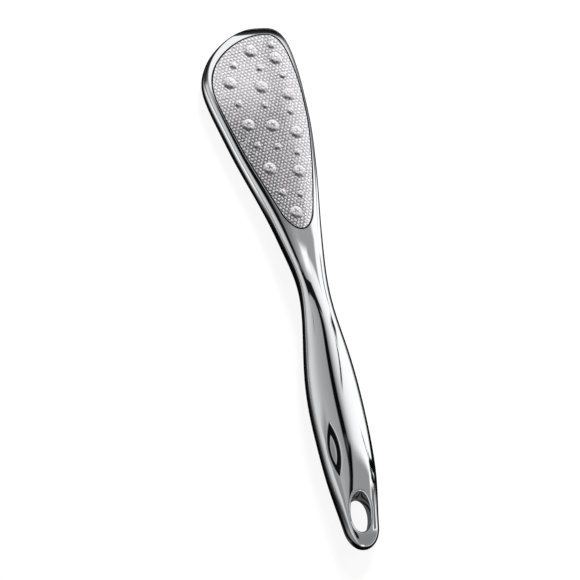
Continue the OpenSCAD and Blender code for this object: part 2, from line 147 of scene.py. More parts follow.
def curve(c, t):
    """A smooth curve by its steering values, at t stations from the start."""
    k = int(clamp(math.floor(t), 0, len(c) - 4))
    u = t - k
    return ((1 - u) ** 3 * c[k] + (3 * u ** 3 - 6 * u ** 2 + 4) * c[k + 1]
            + (-3 * u ** 3 + 3 * u ** 2 + 3 * u + 1) * c[k + 2] + u ** 3 * c[k + 3]) / 6


HALF_W_CURVE = controls(
    mixes(END_W / 2, GRIP_W / 2, END_GRIP_W)
    + mixes(NECK_W / 2, GRIP_W / 2, GRIP_NECK_W)
    + mixes(NECK_W / 2, HEAD_W / 2, NECK_HEAD_W))
MID_CURVE = controls(mixes(HANDLE_OFFSET, 0, HANDLE_MID) + mixes(HANDLE_OFFSET, 0, HEAD_MID))
THICK_CURVE = controls(
    mixes(END_T, GRIP_T, END_GRIP_T)
    + mixes(NECK_T, GRIP_T, GRIP_NECK_T)
    + mixes(NECK_T, HEAD_T, NECK_HEAD_T))
LIFT_CURVE = controls([share * NECK_LIFT for share in LIFT])
FORM_CURVE = controls(HEAD_FORM)
CREST_CURVE = controls(CREST)


def place(y):
    """How many stations lie between the handle's end and y."""
    return HALF_COUNT * ((y - END_Y) / HANDLE_LEN if y < NECK_Y else 1 + (y - NECK_Y) / HEAD_LEN)


def cap(d, stretch, power):
    """1 inside, falling to 0 over the last stretch before an end, at a distance of d from it."""
    s = clamp(1 - d / stretch)
    return (1 - s ** power) ** (1 / power)


def section(q, power):
    """Height of a rounded section: 1 in its middle, 0 at q = 1 and at q = -1."""
    q = abs(q)
    return (1 - q ** power) ** (1 / power) if q < 1 - NEARLY else 0


def raw_half(y):
    return curve(HALF_W_CURVE, place(y))


def half_w(y):
    tip_cap = cap(TIP_Y - y, TIP_CAP_LEN, CAP_POWER)
    return raw_half(y) * tip_cap * cap(y - END_Y, END_CAP_LEN, CAP_POWER)


def raw_mid(y):
    return curve(MID_CURVE, place(y)) + TIP_SKEW * (1 - cap(TIP_Y - y, TIP_CAP_LEN, CAP_POWER))


def middle_x(steps=2000):
    """The x that lies midway between the outline's left and right reach."""
    ys = [mix(END_Y, TIP_Y, i / steps) for i in range(steps + 1)]
    return (min(raw_mid(y) - half_w(y) for y in ys) + max(raw_mid(y) + half_w(y) for y in ys)) / 2


CENTRE_X = middle_x()


def mid_x(y):
    return raw_mid(y) - CENTRE_X


def parting(y):
    """Height of the line where the two shells meet."""
    return max(curve(LIFT_CURVE, place(y)), 0) + curve(THICK_CURVE, place(y)) / 2


def form(y):
    """0 where the section is the handle's, 1 where it is the head's."""
    return clamp(curve(FORM_CURVE, place(y)))


def half_t(y):
    return (curve(THICK_CURVE, place(y)) / 2 * cap(TIP_Y - y, TIP_ROUND_LEN, ROUND_POWER)
            * cap(y - END_Y, END_ROUND_LEN, ROUND_POWER))


def across(x, y):
    """0 on the middle line, 1 at the right edge and -1 at the left one."""
    half = half_w(y)
    return (x - mid_x(y)) / half if half > NEARLY else 0


def from_crest(x, y):
    """0 on the crest of the face, 1 at either edge."""
    crest = curve(CREST_CURVE, place(y))
    d = across(x, y) - crest
    return d / (1 - crest) if d > 0 else d / (1 + crest)


def face_z(x, y):
    return parting(y) + half_t(y) * section(from_crest(x, y), mix(HANDLE_POWER, FACE_POWER, form(y)))


DISH_Y = NECK_Y - DISH_FROM_NECK
DISH_X = mid_x(DISH_Y) - DISH_SIDE * half_w(DISH_Y)


def dish_drop(x, y):
    """Depth of the thumb dish, with its edge rounded over."""
    inset = DISH_W / 2 * (1 - (2 * (y - DISH_Y) / DISH_LEN) ** 2) - abs(x - DISH_X)
    if inset < -DISH_EDGE_ROUND:
        return 0
    if inset < DISH_EDGE_ROUND:
        inset = (inset + DISH_EDGE_ROUND) ** 2 / (4 * DISH_EDGE_ROUND)
    return DISH_DEPTH * math.sin(math.pi / 2 * min(inset / DISH_SIDE_W, 1))


def front_z(x, y):
    """The face with its thumb dish."""
    return face_z(x, y) - dish_drop(x, y)


def back_z(x, y):
    """The back, above the resting plane by as much as the fine plate stands proud of it."""
    z = parting(y) - half_t(y) * section(across(x, y), mix(HANDLE_POWER, BACK_POWER, form(y)))
    return max(z, FINE_PROUD) if y > NECK_Y else z


PLATE_END_Y = NECK_Y + PLATE_FROM_NECK
PLATE_TIP_Y = TIP_Y - BEZEL_TIP
FINE_END_Y = NECK_Y + FINE_FROM_NECK
FINE_TIP_Y = TIP_Y - FINE_FROM_TIP
FINE_CAP_LEN = TIP_CAP_LEN - FINE_FROM_TIP / 2
HOLE_Y = END_Y + HOLE_FROM_END


def plate_cap(y, grow):
    return cap(PLATE_TIP_Y + grow - y, TIP_CAP_LEN, CAP_POWER)


def plate_half(y, grow):
    """Half the rasp plate's width, grown all round by an amount."""
    u = max((SHOULDER_Y - y) / (SHOULDER_Y - PLATE_END_Y), 0)
    return ((raw_half(y) - BEZEL_W - BEZEL_TAPER * u ** 2 + grow) * plate_cap(y, grow)
            * cap(y - PLATE_END_Y + grow, END_CAP_LEN, CAP_POWER))


def plate_mid(y, grow):
    return curve(MID_CURVE, place(y)) - CENTRE_X + BEZEL_SHIFT + TIP_SKEW * (1 - plate_cap(y, grow))


def fine_cap(y, grow):
    return cap(FINE_TIP_Y + grow - y, FINE_CAP_LEN, CAP_POWER)


def fine_half(y, grow):
    return ((raw_half(y) - FINE_BORDER + grow) * fine_cap(y, grow)
            * cap(y - FINE_END_Y + grow, END_CAP_LEN, CAP_POWER))


def fine_mid(y, grow):
    return curve(MID_CURVE, place(y)) - CENTRE_X + TIP_SKEW * (1 - fine_cap(y, grow))


# Counts of steps: across half a row, along an outline's side, round its tip, and from rim to edge
ROW_HALF, SIDE, TIP, RADIAL = 44, 48, 28, 22
HEAD_STEPS, HOLE_STEPS = ROW_HALF + SIDE + TIP, ROW_HALF + SIDE

# Fewer steps where little shows: from rim to edge on the parting faces, and across the pockets' floors
PARTING_RADIAL, FLOOR_COLUMNS = 2, 4

# Rows of the grip: the lower ones lie closer, for the thumb dish, over the first share of its length
DISH_ROWS, NECK_ROWS = 92, 100
DISH_ROWS_SHARE = 0.25

# The left half of a row: its places at the dish's inner and outer edge, and the steps up to each
DISH_NEAR, DISH_FAR = 0.24, 0.8
DISH_NEAR_STEP, DISH_FAR_STEP = 4, 27

# How much the rings of a patch crowd towards its outer edge
CROWDING = 2.4

# Steps of the roundings of the hanging hole, of the pockets and of the sheets' edges
LIP_STEPS, RIM_STEPS, EDGE_STEPS = 8, 4, 3

# Points closer than this, in metres, are one point; edges sharper than this, in degrees, stay crisp
MERGE_DISTANCE = 0.0000004
CRISP_EDGE, TOOTHED_CRISP_EDGE = 38, 80

# Finish numbers of a dressed piece: its outside, and the black of its pocket or edge, which is painted shade
# for the seam
PLATED, SEAM_SHADE = 0, 1


def patch(bm, columns, rows, point, finish=PLATED):
    """A grid of faces whose points lie where point(column, row) says, in millimetres; gives the points."""
    grid = bmesh.ops.create_grid(bm, x_segments=columns, y_segments=rows, size=0.5)
    for face in {face for vert in grid["verts"] for face in vert.link_faces}:
        face.material_index = finish
    for vert in grid["verts"]:
        column = round((vert.co.x + 0.5) * columns)
        row = round((vert.co.y + 0.5) * rows)
        vert.co = Vector(point(column, row)) * MM
    return grid["verts"]


def row_q(side, k):
    """Place across a row for step k of its half: 0 in the middle, 1 at the edge, closer by the dish."""
    if side > 0:
        return math.sin(math.pi / 2 * k / ROW_HALF) ** (2 / HANDLE_POWER)
    if k <= DISH_NEAR_STEP:
        return DISH_NEAR * k / DISH_NEAR_STEP
    if k <= DISH_FAR_STEP:
        return mix(DISH_NEAR, DISH_FAR, (k - DISH_NEAR_STEP) / (DISH_FAR_STEP - DISH_NEAR_STEP))
    return 1 - (1 - DISH_FAR) * ((ROW_HALF - k) / (ROW_HALF - DISH_FAR_STEP)) ** 2


def row_share(row):
    """How far up the grip a row lies; the first rows are closer, for the thumb dish."""
    if row <= DISH_ROWS:
        return DISH_ROWS_SHARE * row / DISH_ROWS
    return mix(DISH_ROWS_SHARE, 1, (row - DISH_ROWS) / NECK_ROWS)


def bowed(y, q, bow):
    """Place along the file of a row that bows in its middle."""
    return y + bow * (1 - q * q)


HEAD_EDGE_Y = PLATE_END_Y + HEAD_PATCH
HOLE_EDGE_Y = HOLE_Y + HOLE_PATCH - PATCH_BOW / 2


def row_point(side, k, share):
    """A point of the stretch between the two end patches, in plan."""
    q = row_q(side, k)
    y = mix(bowed(HOLE_EDGE_Y, q, PATCH_BOW), bowed(HEAD_EDGE_Y, q, -PATCH_BOW), share)
    return mid_x(y) + side * q * half_w(y), y


def tip_share(k, count):
    """Place of step k on the way to a rounded end, with the steps shortest at the end itself."""
    return 1 - math.cos(math.pi / 2 * k / count)


def head_outline(side, k):
    """Outer edge of the head patch: first its row, then the outline up to the tip."""
    if k <= ROW_HALF:
        return row_point(side, k, 1)
    if k <= ROW_HALF + SIDE:
        y = mix(HEAD_EDGE_Y, TIP_Y - TIP_CAP_LEN, (k - ROW_HALF) / SIDE)
    else:
        y = TIP_Y - TIP_CAP_LEN * tip_share(HEAD_STEPS - k, TIP)
    return mid_x(y) + side * half_w(y), y


def pocket_y(k, end_y, tip_y, cap_len):
    """Where along a plate's outline step k lies, from its lower end to its tip."""
    if k <= ROW_HALF:
        return end_y + END_CAP_LEN * tip_share(k, ROW_HALF)
    if k <= ROW_HALF + SIDE:
        return mix(end_y + END_CAP_LEN, tip_y - cap_len, (k - ROW_HALF) / SIDE)
    return tip_y - cap_len * tip_share(HEAD_STEPS - k, TIP)


def plate_outline(side, k, grow):
    y = pocket_y(k, PLATE_END_Y - grow, PLATE_TIP_Y + grow, TIP_CAP_LEN)
    return plate_mid(y, grow) + side * plate_half(y, grow), y


def fine_outline(side, k, grow):
    y = pocket_y(k, FINE_END_Y - grow, FINE_TIP_Y + grow, FINE_CAP_LEN)
    return fine_mid(y, grow) + side * fine_half(y, grow), y


def hole_outline(side, k, grow):
    """The leaning oval rim, from its upper end round to its lower end."""
    a = math.pi * (0.5 - k / HOLE_STEPS)
    u, v = side * (HOLE_W / 2 + grow) * math.cos(a), (HOLE_LEN / 2 + grow) * math.sin(a)
    c, t = math.cos(HOLE_TURN), math.sin(HOLE_TURN)
    return mid_x(HOLE_Y) + u * c + v * t, HOLE_Y + v * c - u * t


def end_outline(side, k):
    """Outer edge of the hole patch: first its row, then the outline round the handle's end."""
    if k <= ROW_HALF:
        return row_point(side, k, 0)
    edge = row_point(side, ROW_HALF, 0)[1]
    y = END_Y + (edge - END_Y) * tip_share(HOLE_STEPS - k, SIDE)
    return mid_x(y) + side * half_w(y), y


def ring_patch(bm, inner, grow, outer, count, radial, height):
    """Faces between an inner outline, grown, and an outer one, closing up towards the outer edge."""
    for side in (-1, 1):
        def point(k, r):
            ease = mix(1, CROWDING, clamp(k / ROW_HALF) ** 3)
            share = 1 - (1 - r / radial) ** ease
            a, b = inner(side, k, grow), outer(side, k)
            x, y = mix(a[0], b[0], share), mix(a[1], b[1], share)
            if r == radial:
                x, y = b
            return x, y, height(x, y)
        patch(bm, count, radial, point)


def row_patch(bm, height):
    """Faces of the grip and neck between the hole patch and the head patch."""
    for side in (-1, 1):
        def point(k, row):
            x, y = row_point(side, k, row_share(row))
            return x, y, height(x, y)
        patch(bm, ROW_HALF, DISH_ROWS + NECK_ROWS, point)


def wall_patch(bm, outline, count, rings, finish=PLATED):
    """Faces that run down a rim: rings lists how far the outline grows and the height on each ring."""
    for side in (-1, 1):
        def point(k, ring):
            grow, height = rings[ring]
            x, y = outline(side, k, grow)
            return x, y, height(x, y)
        patch(bm, count, len(rings) - 1, point, finish)


def floor_patch(bm, outline, grow, height, finish=PLATED, columns=FLOOR_COLUMNS, rows=HEAD_STEPS):
    """Faces that fill an outline, row by row."""
    def point(column, k):
        left, right = outline(-1, k, grow), outline(1, k, grow)
        x, y = mix(left[0], right[0], column / columns), left[1]
        return x, y, height(x, y)
    patch(bm, columns, rows, point, finish)


def finished(bm, name, materials, sharp=CRISP_EDGE):
    """Closes the seams, turns the faces outwards and makes the object."""
    bmesh.ops.remove_doubles(bm, verts=bm.verts, dist=MERGE_DISTANCE)
    bmesh.ops.dissolve_degenerate(bm, edges=bm.edges, dist=MERGE_DISTANCE)
    bmesh.ops.recalc_face_normals(bm, faces=bm.faces)
    if bm.calc_volume(signed=True) < 0:
        bmesh.ops.reverse_faces(bm, faces=bm.faces)
    mesh = bpy.data.meshes.new(name)
    bm.to_mesh(mesh)
    bm.free()
    mesh.shade_smooth()
    mesh.set_sharp_from_angle(angle=math.radians(sharp))
    for material in materials:
        mesh.materials.append(material)
    obj = bpy.data.objects.new(name, mesh)
    bpy.context.scene.collection.objects.link(obj)
    return obj


def round_rings(height, sign, radius, steps, grow, outward=1):
    """A quarter round from a surface into a wall: each ring's distance from the outline and its height.

    The sign is 1 where the wall runs down and -1 where it runs up. Outward is -1 for a piece's own edge.
    """
    rings = []
    for i in range(steps + 1):
        a = math.pi / 2 * i / steps
        drop = sign * radius * (1 - math.cos(a))
        rings.append((grow + outward * radius * (1 - math.sin(a)),
                      lambda x, y, drop=drop: height(x, y) - drop))
    return rings


def parting_z(_, y):
    """The surface where the two shells meet, which is level across the file."""
    return parting(y)


def shell(name, height, sign, pocket, floor_z, materials):
    """One moulded half: its skin, hole rim, plate pocket and parting face. The pocket is painted black, as
    shade for the seam.

    The sign is 1 for the front half, whose walls run down to the parting face, and -1 for the back.
    """
    bm = bmesh.new()
    hole_rings = round_rings(height, sign, HOLE_LIP, LIP_STEPS, 0) + [(0, parting_z)]
    pocket_rings = round_rings(height, sign, RIM_ROUND, RIM_STEPS, SEAM_GAP) + [(SEAM_GAP, floor_z)]
    row_patch(bm, height)
    ring_patch(bm, hole_outline, HOLE_LIP, end_outline, HOLE_STEPS, RADIAL, height)
    ring_patch(bm, pocket, SEAM_GAP + RIM_ROUND, head_outline, HEAD_STEPS, RADIAL, height)
    wall_patch(bm, hole_outline, HOLE_STEPS, hole_rings)
    # The pocket's walls and floor carry the painted seam shade
    wall_patch(bm, pocket, HEAD_STEPS, pocket_rings, SEAM_SHADE)
    floor_patch(bm, pocket, SEAM_GAP, floor_z, SEAM_SHADE)
    row_patch(bm, parting_z)
    ring_patch(bm, hole_outline, 0, end_outline, HOLE_STEPS, PARTING_RADIAL, parting_z)
    ring_patch(bm, pocket, SEAM_GAP, head_outline, HEAD_STEPS, PARTING_RADIAL, parting_z)
    floor_patch(bm, pocket, SEAM_GAP, parting_z)
    return finished(bm, name, materials)


# The tooth lattice of the rasp sheet: three waves, in cycles a millimetre
TEETH_PER_MM = 0.69
TEETH_TURNS = [math.radians(-20), math.radians(-80), math.radians(-140)]
TOOTH_H = 0.15

# The waves add up to no less than the first number, and to the second above it on a tooth's crown
WAVES_LOW, WAVES_SPAN = -1.5, 4.5

# Rows of the rasp sheet: at its lower end, along its sides and at its tip
PLATE_ROWS = (40, 180, 150)

# Steps across the faces of the two sheets, and across their undersides
PLATE_COLUMNS, FINE_COLUMNS, UNDER_COLUMNS = 130, 24, 12

# The domes, by distance from their centre in parts of their radius: how they rise, how their tops round
# off, where their slopes are smooth, how much lower the teeth are there, and how far a dome matters
DOME_SLOPE, DOME_ROUNDING = (1.08, 0.58), 0.15
SMOOTH_FOOT, SMOOTH_CROWN, SMOOTH_TEETH = (1.06, 0.86), (0.15, 0.6), 0.5
DOME_REACH, NO_DOME = 1.3, (9, 0, 0)

# Painted shade at a dome's foot: a faint dark line round it in the crease, and a painted shadow on the side
# towards the handle
LINE_AT, LINE_WIDTH, LINE_SHADE = 1.1, 0.12, 0.5
SHADOW_SIDE, SHADOW_END, SHADOW_FADE, SHADOW_DARKNESS, SHADOW_LEAN = (0.4, 0.9), 1.2, 0.25, 0.85, 0.3

# Where a painted sheen lights the rasp sheet: to the right, beside the tip except on its right, and a little
# in between
RIGHT_SHEEN, TIP_SHEEN = (0.1, 0.85), (0.48, 0.78)
TIP_SHEEN_LOSS, TIP_SHEEN_RIGHT = 0.4, (-0.1, 0.5)
MIDDLE_SHEEN, MIDDLE_SHEEN_FROM = 0.28, (-1, 0.2)


def plate_row_y(k, grow):
    """Where row k of the rasp sheet lies, closer together at its two ends."""
    end_rows, side_rows, tip_rows = PLATE_ROWS
    end_y, tip_y = PLATE_END_Y - grow, PLATE_TIP_Y + grow
    if k <= end_rows:
        return end_y + (PLATE_END_Y + END_CAP_LEN - end_y) * tip_share(k, end_rows)
    if k <= end_rows + side_rows:
        return mix(PLATE_END_Y + END_CAP_LEN, PLATE_TIP_Y - TIP_CAP_LEN, (k - end_rows) / side_rows)
    return tip_y - (tip_y - PLATE_TIP_Y + TIP_CAP_LEN) * tip_share(sum(PLATE_ROWS) - k, tip_rows)


def sheet_outline(side, k, grow):
    y = plate_row_y(k, grow)
    return plate_mid(y, grow) + side * plate_half(y, grow), y


def dome_spots():
    """Centre, radius and height of every dome of the rasp sheet."""
    spots = []
    for i, row in enumerate(DOME_ROWS):
        size = (SMALL_DOME_R, SMALL_DOME_H) if i % 2 == 0 else (BIG_DOME_R, BIG_DOME_H)
        for across_share, along_share in row:
            y = mix(PLATE_END_Y, PLATE_TIP_Y, along_share)
            spots.append((plate_mid(y, 0) + across_share * plate_half(y, 0), y, *size))
    return spots


DOMES = dome_spots()


def tooth_h(x, y):
    waves = sum(math.cos(2 * math.pi * TEETH_PER_MM * (x * math.cos(a) + y * math.sin(a)))
                for a in TEETH_TURNS)
    return TOOTH_H * (waves - WAVES_LOW) / WAVES_SPAN


def near_dome(x, y):
    """The nearest dome: distance from its centre in radii, its height, and how far on the side where its
    shadow is painted.
    """
    for dome_x, dome_y, r, h in DOMES:
        if abs(x - dome_x) < r * DOME_REACH and abs(y - dome_y) < r * DOME_REACH:
            in_shade = (dome_y - y + SHADOW_LEAN * (dome_x - x)) / r
            return math.hypot(x - dome_x, y - dome_y) / r, h, in_shade
    return NO_DOME


def polish(x, y):
    """1 on the smooth slopes of the domes, 0 on the toothed ground."""
    d = near_dome(x, y)[0]
    return rise(d, *SMOOTH_FOOT) * rise(d, *SMOOTH_CROWN)


def grime(x, y):
    """1 where shade is painted at the foot of a dome: a line in the crease, and mostly a painted shadow on
    the side towards the handle.
    """
    d, _, in_shade = near_dome(x, y)
    line = LINE_SHADE * clamp(1 - abs(d - LINE_AT) / LINE_WIDTH)
    return clamp(line + SHADOW_DARKNESS * rise(in_shade, *SHADOW_SIDE) * clamp((SHADOW_END - d) / SHADOW_FADE))


def rasp_z(x, y):
    """The face of the rasp sheet with its domes and teeth."""
    d, h, _ = near_dome(x, y)
    teeth = (tooth_h(x, y) - TOOTH_H / 2) * (1 - SMOOTH_TEETH * polish(x, y))
    return face_z(x, y) + teeth + h * rise(d, *DOME_SLOPE) * (1 - DOME_ROUNDING * min(d, 1) ** 2)


def dullness(x, y):
    """Painted shading of the rasp sheet: 1 where it is shaded, falling to 0 where a painted sheen brightens
    it, along the right edge and by the tip's left corner.
    """
    q = clamp((x - plate_mid(y, 0)) / max(plate_half(y, 0), 1), -1, 1)
    v = (y - PLATE_END_Y) / (PLATE_TIP_Y - PLATE_END_Y)
    tip = rise(v, *TIP_SHEEN) * (1 - TIP_SHEEN_LOSS * rise(q, *TIP_SHEEN_RIGHT))
    return 1 - max(MIDDLE_SHEEN * rise(q, *MIDDLE_SHEEN_FROM), rise(q, *RIGHT_SHEEN), tip)


def sheet(name, outline, rows, columns, height, thickness, materials, sharp, **face_masks):
    """A closed sheet in an outline: its face, with any masks it carries for polish and for painted light and
    shade, its underside and its edge.
    """
    bm = bmesh.new()
    layers = [(bm.verts.layers.float.new(label), share) for label, share in face_masks.items()]
    floor_patch(bm, outline, -EDGE_ROUND, height, PLATED, columns, rows)
    for vert in bm.verts:
        for layer, share in layers:
            vert[layer] = share(vert.co.x / MM, vert.co.y / MM)

    def under_z(x, y):
        return height(x, y) - thickness
    floor_patch(bm, outline, 0, under_z, PLATED, UNDER_COLUMNS, rows)
    edge_rings = round_rings(height, 1, EDGE_ROUND, EDGE_STEPS, 0, -1) + [(0, under_z)]
    # The edge carries the painted seam shade
    wall_patch(bm, outline, rows, edge_rings, SEAM_SHADE)
    return finished(bm, name, materials, sharp)


# Shader groups that more than one finish uses. They put out values only.
def new_group(name, inputs, outputs):
    """An empty group with named numbers going in and named values coming out."""
    group = bpy.data.node_groups.new(name, "ShaderNodeTree")
    for label in inputs:
        group.interface.new_socket(name=label, in_out="INPUT", socket_type="NodeSocketFloat")
    for label in outputs:
        group.interface.new_socket(name=label, in_out="OUTPUT", socket_type="NodeSocketFloat")
    return group, group.nodes.new("NodeGroupInput").outputs, group.nodes.new("NodeGroupOutput").inputs


def math_node(tree, operation, a, b=None):
    """One sum of a shader: a and b are sockets or numbers."""
    node = tree.nodes.new("ShaderNodeMath")
    node.operation = operation
    for i, value in enumerate((a, b)):
        if isinstance(value, bpy.types.NodeSocket):
            tree.links.new(value, node.inputs[i])
        elif value is not None:
            node.inputs[i].default_value = value
    return node.outputs[0]


def object_place(tree):
    """A point's place in the object."""
    return tree.nodes.new("ShaderNodeTexCoord").outputs["Object"]


def split_place(tree):
    """A point's x, y and z in the object, apart."""
    split = tree.nodes.new("ShaderNodeSeparateXYZ")
    tree.links.new(object_place(tree), split.inputs[0])
    return split.outputs


def tooth_lattice_group():
    """1 on each tooth, 0 in the gaps: the same three waves as the rasp sheet's mesh."""
    group, start, end = new_group("tooth_lattice", ["Teeth Per Metre", "Sharpness"], ["Tooth"])
    place_socket = object_place(group)
    total = 0
    for turn in TEETH_TURNS:
        dot = group.nodes.new("ShaderNodeVectorMath")
        dot.operation = "DOT_PRODUCT"
        dot.inputs[1].default_value = (2 * math.pi * math.cos(turn), 2 * math.pi * math.sin(turn), 0)
        group.links.new(place_socket, dot.inputs[0])
        angle = math_node(group, "MULTIPLY", dot.outputs["Value"], start["Teeth Per Metre"])
        total = math_node(group, "ADD", total, math_node(group, "COSINE", angle))
    share = math_node(group, "DIVIDE", math_node(group, "SUBTRACT", total, WAVES_LOW), WAVES_SPAN)
    tooth = math_node(group, "POWER", math_node(group, "MAXIMUM", share, 0), start["Sharpness"])
    group.links.new(tooth, end["Tooth"])
    return group


HAZE_DETAIL = 2


def haze_group():
    """Faint uneven polish: large soft clouds and fine grain."""
    labels = ["Cloud", "Grain"]
    group, start, end = new_group("polish_haze", [label + " Scale" for label in labels], labels)
    place_socket = object_place(group)
    for label in labels:
        noise = group.nodes.new("ShaderNodeTexNoise")
        noise.inputs["Detail"].default_value = HAZE_DETAIL
        group.links.new(place_socket, noise.inputs["Vector"])
        group.links.new(start[label + " Scale"], noise.inputs["Scale"])
        group.links.new(noise.outputs["Fac"], end[label])
    return group


def leaf_mask_group():
    """1 inside an upright leaf shape, 0 outside, with a soft edge."""
    sizes = ["Centre X", "Centre Y", "Half Length", "Half Width", "Softness"]
    group, start, end = new_group("leaf_mask", sizes, ["Leaf"])
    x, y, _ = split_place(group)
    aside = math_node(group, "ABSOLUTE", math_node(group, "SUBTRACT", x, start["Centre X"]))
    from_centre = math_node(group, "SUBTRACT", y, start["Centre Y"])
    along = math_node(group, "DIVIDE", from_centre, start["Half Length"])
    narrowing = math_node(group, "SUBTRACT", 1, math_node(group, "MULTIPLY", along, along))
    width = math_node(group, "MULTIPLY", narrowing, start["Half Width"])
    inset = math_node(group, "DIVIDE", math_node(group, "SUBTRACT", width, aside), start["Softness"])
    leaf = math_node(group, "MINIMUM", math_node(group, "MAXIMUM", inset, 0), 1)
    group.links.new(leaf, end["Leaf"])
    return group


TOOTH_LATTICE = tooth_lattice_group()
LEAF_MASK = leaf_mask_group()
POLISH_HAZE = haze_group()


def placed(tree, group, **values):
    """A group placed in a material with its own values: what it puts out."""
    node = tree.nodes.new("ShaderNodeGroup")
    node.node_tree = group
    for label, value in values.items():
        node.inputs[label.replace("_", " ")].default_value = value
    return node.outputs


def new_material(name, metallic):
    """A material, its node tree and its shader."""
    material = bpy.data.materials.new(name)
    material.use_nodes = True
    shader = material.node_tree.nodes["Principled BSDF"]
    shader.inputs["Metallic"].default_value = metallic
    return material, material.node_tree, shader


def carried(tree, attribute):
    """A value that the mesh carries at each point."""
    node = tree.nodes.new("ShaderNodeAttribute")
    node.attribute_name = attribute
    return node.outputs["Fac"]


def ranged(tree, value, low, high, from_low=0.0, from_high=1.0):
    """Maps a mask onto a range of numbers."""
    node = tree.nodes.new("ShaderNodeMapRange")
    node.inputs["From Min"].default_value = from_low
    node.inputs["From Max"].default_value = from_high
    node.inputs["To Min"].default_value = low
    node.inputs["To Max"].default_value = high
    tree.links.new(value, node.inputs["Value"])
    return node.outputs["Result"]


def colored(tree, mask, a, b):
    """Mixes two colours by a mask: each is a socket, or red, green and blue."""
    node = tree.nodes.new("ShaderNodeMix")
    node.data_type = "RGBA"
    tree.links.new(mask, node.inputs["Factor"])
    for label, color in (("A", a), ("B", b)):
        if isinstance(color, bpy.types.NodeSocket):
            tree.links.new(color, node.inputs[label])
        else:
            node.inputs[label].default_value = (*color, 1)
    return node.outputs["Result"]


def shaded(color, share):
    """A colour made darker."""
    return [share * v for v in color]


def bumped(tree, shader, height, distance, strength):
    """Lets a value stand out from the surface, by a distance in metres."""
    bump = tree.nodes.new("ShaderNodeBump")
    bump.inputs["Distance"].default_value = distance
    bump.inputs["Strength"].default_value = strength
    tree.links.new(height, bump.inputs["Height"])
    tree.links.new(bump.outputs["Normal"], shader.inputs["Normal"])


# The stretches of noise that masks are made from
NOISE, WIDE_NOISE = (0.3, 0.7), (0.2, 0.8)

# The thumb dish's painted reflections: a black leaf in it, a bright leaf in that, and a grey one inside a
# bright line; the black ring stands for the dark walls' reflection, the grey leaf for the floor's
RING_INSET, RING_SHIFT = 0.2, 0.15
LEAF_LEN, LEAF_W, LEAF_SHIFT, LEAF_LINE = 14, 2.4, 0.35, 0.45
LEAF_REFLECTION_GREY, RING_REFLECTION_BLACK = (0.56, 0.57, 0.59), (0.012, 0.012, 0.014)
LEAF_SOFTNESS = 0.2


def dish_leaf(tree, length, width, shift):
    """The mask of a leaf in the thumb dish, moved to the left by the shift."""
    leaf = placed(tree, LEAF_MASK, Centre_X=(DISH_X - shift) * MM, Centre_Y=DISH_Y * MM,
                  Half_Length=length / 2 * MM, Half_Width=width / 2 * MM, Softness=LEAF_SOFTNESS * MM)
    return leaf["Leaf"]


def chrome_plating(name, with_dish):
    """Bright chrome with a faint uneven polish; in the thumb dish, a painted dark reflection rings a leaf
    painted with a grey reflection.
    """
    material, tree, shader = new_material(name, 1)
    haze = placed(tree, POLISH_HAZE, Cloud_Scale=25, Grain_Scale=700)
    tree.links.new(ranged(tree, haze["Cloud"], 0.02, 0.05, *NOISE), shader.inputs["Roughness"])
    color = colored(tree, haze["Cloud"], (0.87, 0.88, 0.9), (0.9, 0.91, 0.92))
    if with_dish:
        black = dish_leaf(tree, DISH_LEN, DISH_W - 2 * RING_INSET, RING_SHIFT)
        bright = dish_leaf(tree, LEAF_LEN, LEAF_W, LEAF_SHIFT)
        grey = dish_leaf(tree, LEAF_LEN - 4 * LEAF_LINE, LEAF_W - 2 * LEAF_LINE, LEAF_SHIFT)
        # Painted reflections: grey on the dish's floor, and black in a ring for its walls
        color = colored(tree, grey, color, LEAF_REFLECTION_GREY)
        color = colored(tree, math_node(tree, "SUBTRACT", black, bright), color, RING_REFLECTION_BLACK)
    tree.links.new(color, shader.inputs["Base Color"])
    bumped(tree, shader, haze["Grain"], distance=0.00002, strength=0.04)
    return material


# How much of the etched sheets' shine is mirror-like; the rest is the matt scatter of their teeth
ETCHED_METAL, DOMED_METAL = 0.4, 0.02

# Tones in parts of the bright etching's own: its gaps and crowns under the painted shading, the domes'
# slopes, and the painted shade at the domes' feet
SHADED_GAP, SHADED_CROWN = 0.24, 0.68
SLOPE_DARK, SLOPE_BRIGHT = 0.38, 0.7
DOME_SHADE_GAP, DOME_SHADE_CROWN = 0.1, 0.24

# How much grain is added to the teeth, the part of the sum from gap to crown, and the play in roughness
GRAIN_SHARE, GAP_TO_CROWN, ROUGH_PLAY = 0.5, (0.05, 0.6), 0.06


